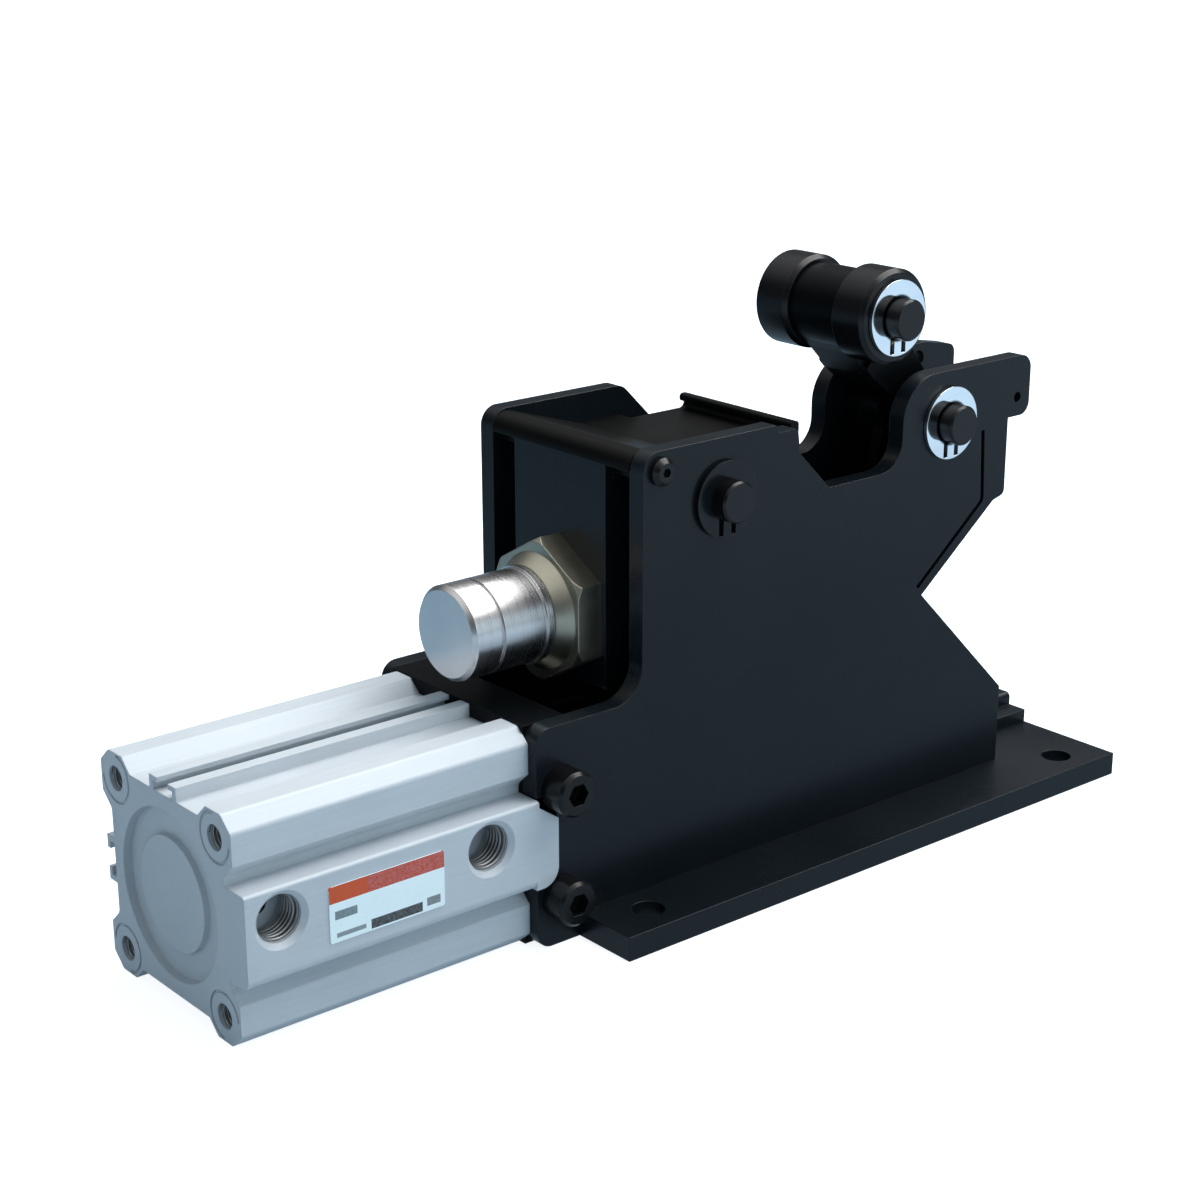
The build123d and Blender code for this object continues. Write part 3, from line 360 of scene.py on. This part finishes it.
def thread(name, mouth, inward, radius, depth, pitch, start, length):
    """Ridge of a cut thread that winds inward from the mouth of a hole of that radius."""
    crest = THREAD_CREST * pitch
    root = THREAD_ROOT * pitch
    turn = inward.to_track_quat("Z", "Y").to_matrix()
    count = int(length / pitch * THREAD_STEPS)
    bm = bmesh.new()
    loops = []
    for k in range(count + 1):
        angle = 2 * math.pi * k / THREAD_STEPS
        fade = min(1.0, k / THREAD_STEPS, (count - k) / THREAD_STEPS)
        along = start + pitch * k / THREAD_STEPS
        tip = radius - depth * max(fade, THREAD_FADED)
        foot = radius + THREAD_EMBED
        profile = ((foot, along - root), (tip, along - crest), (tip, along + crest), (foot, along + root))
        loops.append([bm.verts.new(mouth + turn @ Vector((r * math.cos(angle), r * math.sin(angle), z)))
                      for r, z in profile])
    for a, b in zip(loops, loops[1:]):
        for i in range(len(a)):
            j = (i + 1) % len(a)
            bm.faces.new((a[i], a[j], b[j], b[i]))
    bm.faces.new(loops[0][::-1])
    bm.faces.new(loops[-1])
    bmesh.ops.recalc_face_normals(bm, faces=bm.faces)
    me = bpy.data.meshes.new(name)
    bm.to_mesh(me)
    bm.free()
    for face in me.polygons:
        face.use_smooth = True
    me.materials.append(SHADED_THREAD_METAL)
    ob = bpy.data.objects.new(name, me)
    bpy.context.scene.collection.objects.link(ob)
    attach(ob, "frame")


PORT_FACE = -37.2 * MM
PORT_THREAD_DEPTH = 0.85 * MM
PORT_PITCH = 1.34 * MM
PORT_START = 2.2 * MM
PORT_LENGTH = 8.6 * MM
HOLE_PITCH = 49.5 * MM
HOLE_RADIUS = 3.5 * MM
HOLE_THREAD_DEPTH = 0.45 * MM
HOLE_THREAD_PITCH = 1.0 * MM
HOLE_START = 0.8 * MM
HOLE_LENGTH = 8.5 * MM
BORE_Z = 32.2 * MM
CAP_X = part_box("cylinder_tube")[0][0]
# Grey of the cut metal, made darker as painted shade inside the ports and tapped holes.
SHADED_THREAD_METAL = metal("thread_cut_shaded", (0.26, 0.26, 0.26), (0.40, 0.40, 0.40), rough=0.36, lines=(6, 60, 6),
                     scale=20.0, strength=0.12, edge=0.1 * MM, metallic=0.8)

for port in ("port_cap", "port_rod"):
    x, _, z = MOUNTS[port]["pos_m"]
    thread("thread_" + port, Vector((x, PORT_FACE, z)), Vector((0, 1, 0)), MOUNTS[port]["dims"]["r_mm"] * MM,
           PORT_THREAD_DEPTH, PORT_PITCH, PORT_START, PORT_LENGTH)
for sy in (-1, 1):
    for sz in (-1, 1):
        label = ("front" if sy < 0 else "rear") + ("_low" if sz < 0 else "_high")
        thread("thread_corner_" + label, Vector((CAP_X, sy * HOLE_PITCH / 2, BORE_Z + sz * HOLE_PITCH / 2)),
               Vector((1, 0, 0)), HOLE_RADIUS, HOLE_THREAD_DEPTH, HOLE_THREAD_PITCH, HOLE_START, HOLE_LENGTH)


# Camera
CAMERA_PLACE = (-0.4767, -0.4891, 0.2929)
AZIMUTH = 50.855
PITCH_DOWN = 18.74
ROLL = 0.377
LENS = 69.94
SHIFT = (0.0283, 0.0142)


def camera_matrix(place, azimuth, pitch, roll):
    a, p, r = (math.radians(v) for v in (azimuth, pitch, roll))
    ahead = Vector((math.cos(a) * math.cos(p), math.sin(a) * math.cos(p), -math.sin(p)))
    level = Vector((math.sin(a), -math.cos(a), 0))
    below = ahead.cross(level)
    right = level * math.cos(r) + below * math.sin(r)
    down = below * math.cos(r) - level * math.sin(r)
    m = Matrix.Identity(4)
    for row in range(3):
        m[row][0] = right[row]
        m[row][1] = -down[row]
        m[row][2] = -ahead[row]
        m[row][3] = place[row]
    return m


camera = bpy.data.cameras.new("camera")
camera.sensor_width = 36.0
camera.lens = LENS
camera.shift_x, camera.shift_y = SHIFT
camera.clip_start = 0.01
camera.clip_end = 40.0
camera_ob = bpy.data.objects.new("camera", camera)
bpy.context.scene.collection.objects.link(camera_ob)
camera_ob.matrix_world = camera_matrix(CAMERA_PLACE, AZIMUTH, PITCH_DOWN, ROLL)
bpy.context.scene.camera = camera_ob


# Floor, world and lamps
def seen_in_metal(nt, path):
    """1 for rays that a shiny or clear surface sends out."""
    return math_node(nt, "MAXIMUM", path.outputs["Is Glossy Ray"], path.outputs["Is Transmission Ray"])


FLOOR_HALF = 6.0
FLOOR_CELLS = 24
FLOOR_DROP = 0.2 * MM
FLOOR_CLOUD = 3.0
FLOOR_ROUGHNESS = 0.9
FLOOR_GLOW = 0.88
MIRROR_FRONT_Y = -0.37
MIRROR_BACK_Y = 0.45
SKY_STRENGTH = 0.36


def make_floor():
    """Pale paper: white for the camera, shaded bluish where metal mirrors it, lit by lamps otherwise."""
    bm = bmesh.new()
    at = [FLOOR_HALF * (2 * i / FLOOR_CELLS - 1) for i in range(FLOOR_CELLS + 1)]
    grid = [[bm.verts.new((x, y, 0.0)) for y in at] for x in at]
    for i in range(FLOOR_CELLS):
        for j in range(FLOOR_CELLS):
            bm.faces.new((grid[i][j], grid[i + 1][j], grid[i + 1][j + 1], grid[i][j + 1]))
    me = bpy.data.meshes.new("floor")
    bm.to_mesh(me)
    bm.free()
    ob = bpy.data.objects.new("floor", me)
    ob.location.z = -FLOOR_DROP
    bpy.context.scene.collection.objects.link(ob)
    m, nt, paper, out = new_material("floor_paper")
    place = object_space(nt)
    cloud = noise(nt, place, FLOOR_CLOUD)
    nt.links.new(ramp(nt, cloud, [(0.3, (0.40, 0.49, 0.57)), (0.7, (0.43, 0.52, 0.60))]),
                 paper.inputs["Base Color"])
    paper.inputs["Roughness"].default_value = FLOOR_ROUGHNESS
    glow = add(nt, "ShaderNodeEmission")
    glow.inputs["Strength"].default_value = FLOOR_GLOW
    lit = add(nt, "ShaderNodeAddShader")
    nt.links.new(paper.outputs[0], lit.inputs[0])
    nt.links.new(glow.outputs[0], lit.inputs[1])
    split = add(nt, "ShaderNodeSeparateXYZ")
    nt.links.new(place, split.inputs[0])
    depth = mapped(nt, split.outputs["Y"], MIRROR_FRONT_Y, MIRROR_BACK_Y)
    mirror = add(nt, "ShaderNodeEmission")
    nt.links.new(ramp(nt, depth, [(0.0, (0.66, 0.84, 1.0)), (0.18, (0.44, 0.57, 0.70)),
                                  (0.51, (0.32, 0.44, 0.54)), (0.73, (0.29, 0.45, 0.59)),
                                  (1.0, (0.20, 0.32, 0.42))]), mirror.inputs["Color"])
    path = add(nt, "ShaderNodeLightPath")
    surface = blended(nt, seen_in_metal(nt, path), paper.outputs[0], mirror.outputs[0])
    surface = blended(nt, path.outputs["Is Camera Ray"], surface, lit.outputs[0])
    nt.links.new(surface, out.inputs[0])
    me.materials.append(m)


def make_world():
    """White for the camera, a studio that is dark low down for metal, a soft bluish sky otherwise."""
    world = bpy.data.worlds.new("world")
    bpy.context.scene.world = world
    world.use_nodes = True
    nt = world.node_tree
    for n in list(nt.nodes):
        nt.nodes.remove(n)
    out = add(nt, "ShaderNodeOutputWorld")
    soft = add(nt, "ShaderNodeBackground")
    soft.inputs["Color"].default_value = (0.70, 0.88, 1.0, 1)
    soft.inputs["Strength"].default_value = SKY_STRENGTH
    white = add(nt, "ShaderNodeBackground")
    white.inputs["Color"].default_value = (1, 1, 1, 1)
    white.inputs["Strength"].default_value = 1.0
    studio = add(nt, "ShaderNodeBackground")
    ray = add(nt, "ShaderNodeTexCoord")
    split = add(nt, "ShaderNodeSeparateXYZ")
    nt.links.new(ray.outputs["Generated"], split.inputs[0])
    nt.links.new(ramp(nt, split.outputs["Z"], [(0.0, (0.20, 0.24, 0.28)), (0.16, (0.080, 0.088, 0.095)),
                                               (0.45, (0.12, 0.125, 0.13)), (0.80, (1.0, 1.0, 1.0))]),
                 studio.inputs["Color"])
    path = add(nt, "ShaderNodeLightPath")
    view = blended(nt, seen_in_metal(nt, path), soft.outputs[0], studio.outputs[0])
    view = blended(nt, path.outputs["Is Camera Ray"], view, white.outputs[0])
    nt.links.new(view, out.inputs[0])


def area(name, place, aim, size, power, colour=(1, 1, 1)):
    lamp = bpy.data.lights.new(name, "AREA")
    lamp.shape = "RECTANGLE"
    lamp.size, lamp.size_y = size
    lamp.energy = power
    lamp.color = colour
    ob = bpy.data.objects.new(name, lamp)
    bpy.context.scene.collection.objects.link(ob)
    ob.location = place
    ob.rotation_euler = (Vector(aim) - Vector(place)).to_track_quat("-Z", "Y").to_euler()


MIDDLE = (-0.05, 0, 0.05)
CYLINDER = (-0.1, 0, 0.05)
COOL = (0.72, 0.90, 1.0)

bpy.context.scene.view_settings.view_transform = "Standard"
make_floor()
make_world()
area("key_box", (0.55, -0.06, 1.20), MIDDLE, size=(1.4, 1.1), power=28.0)
area("front_fill", (0.25, -1.5, 0.55), MIDDLE, size=(1.1, 0.7), power=5.3, colour=COOL)
area("left_fill", (-1.4, 0.35, 0.50), CYLINDER, size=(0.8, 0.6), power=1.0, colour=COOL)
